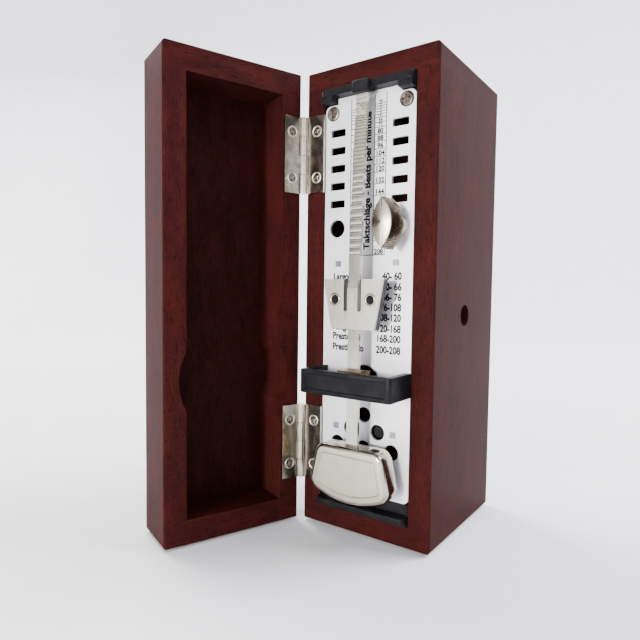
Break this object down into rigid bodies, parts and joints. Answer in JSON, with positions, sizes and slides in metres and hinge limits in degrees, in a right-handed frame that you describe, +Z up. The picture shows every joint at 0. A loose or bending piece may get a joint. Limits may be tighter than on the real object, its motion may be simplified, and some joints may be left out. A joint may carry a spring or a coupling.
{
  "type": "metronome",
  "caption": "Small upright wooden-cased clockwork metronome with a side-hinged hollow door, scale plate, notched pendulum with sliding weight, bridge and winding key.",
  "frame": {"origin": "centre of the case's footprint on the surface it stands on, under the felt pad", "axes": "+Z up, -Y out of the dial, +X to the right of someone facing the dial; the winding hole is on the +X side and the door hinges on the -X side"},
  "size_m": [0.0657, 0.0771, 0.1208],
  "materials": {
    "mahogany": "satin lacquer over a dark red stain",
    "felt": "pressed felt",
    "nickel_plate": "polished nickel plate",
    "satin_plate": "satin silvered",
    "black_moulding": "fine moulded texture",
    "steel": "machined",
    "brass": "rolled and lacquered",
    "satin_steel": "brushed, nickel-plated"
  },
  "bodies": {
    "case": {"case_top": "mahogany", "case_bottom": "mahogany", "case_left_side": "mahogany", "case_right_side": "mahogany", "case_back": "mahogany", "base_felt": "felt", "lower_hinge_case_leaf": "nickel_plate", "upper_hinge_case_leaf": "nickel_plate", "lower_hinge_pin": "nickel_plate", "upper_hinge_pin": "nickel_plate", "case_hinge_screws": "nickel_plate", "dial_plate": "satin_plate", "dial_screws": "nickel_plate", "top_ledge": "black_moulding", "rod_catch": "black_moulding", "bottom_tray": "black_moulding", "bridge": "black_moulding", "bridge_screws": "steel", "left_side_plate": "steel", "right_side_plate": "steel", "movement_pillars": "steel", "rear_cock": "brass", "click_screw": "steel", "click_spring": "steel"},
    "door": {"door_panel": "mahogany", "door_top_rail": "mahogany", "door_bottom_rail": "mahogany", "door_hinge_stile": "mahogany", "door_free_stile": "mahogany", "lower_hinge_door_leaf": "nickel_plate", "upper_hinge_door_leaf": "nickel_plate", "door_hinge_screws": "nickel_plate"},
    "pendulum": {"pendulum_rod": "satin_steel", "pendulum_arbor": "steel", "rod_clamp": "brass", "bob": "satin_steel", "pallets": "steel"},
    "weight": {"weight_face": "satin_steel", "weight_body": "satin_steel", "weight_rivets": "nickel_plate"},
    "key": {"key_wing": "nickel_plate", "key_shank": "nickel_plate"},
    "barrel": {"great_wheel": "brass", "spring_barrel": "brass", "mainspring": "steel"},
    "winder": {"winding_arbor": "steel", "ratchet_wheel": "steel"},
    "click": {"click": "steel"},
    "second": {"second_arbor": "steel", "second_wheel": "brass"},
    "escape": {"escape_arbor": "steel", "escape_wheel": "brass"}
  },
  "joints": [
    {"name": "door_swing", "type": "hinge", "parent": "case", "child": "door", "pos_m": [-0.01921, -0.02142, 0.0608], "axis": [0, 0, -1], "range_deg": [-110.3, 69.7]},
    {"name": "pendulum_swing", "type": "hinge", "parent": "case", "child": "pendulum", "pos_m": [0, -0.02055, 0.0408], "axis": [0, -1, 0], "range_deg": [-3, 13.5]},
    {"name": "weight_slide", "type": "slide", "parent": "pendulum", "child": "weight", "axis": [0, 0, 1], "range_m": [-0.009, 0.006]},
    {"name": "key_pull", "type": "slide", "parent": "case", "child": "key", "axis": [0, -1, 0], "range_m": [0, 0.012]},
    {"name": "barrel_turn", "type": "hinge", "parent": "case", "child": "barrel", "pos_m": [0, -0.00135, 0.05755], "axis": [1, 0, 0], "continuous": true},
    {"name": "second_turn", "type": "hinge", "parent": "case", "child": "second", "pos_m": [0, 0.0012, 0.04623], "axis": [1, 0, 0], "continuous": true},
    {"name": "escape_turn", "type": "hinge", "parent": "case", "child": "escape", "pos_m": [0, -0.00255, 0.0374], "axis": [1, 0, 0], "continuous": true},
    {"name": "winding_turn", "type": "hinge", "parent": "case", "child": "winder", "pos_m": [0, -0.00135, 0.05755], "axis": [1, 0, 0], "continuous": true},
    {"name": "click_lift", "type": "hinge", "parent": "case", "child": "click", "pos_m": [0.0099, 0.00556, 0.05852], "axis": [-1, 0, 0], "range_deg": [0, 8]}
  ],
  "couplings": [
    {"joint": "second_turn", "follows": "escape_turn", "ratio": -0.2},
    {"joint": "barrel_turn", "follows": "escape_turn", "ratio": 0.032}
  ]
}
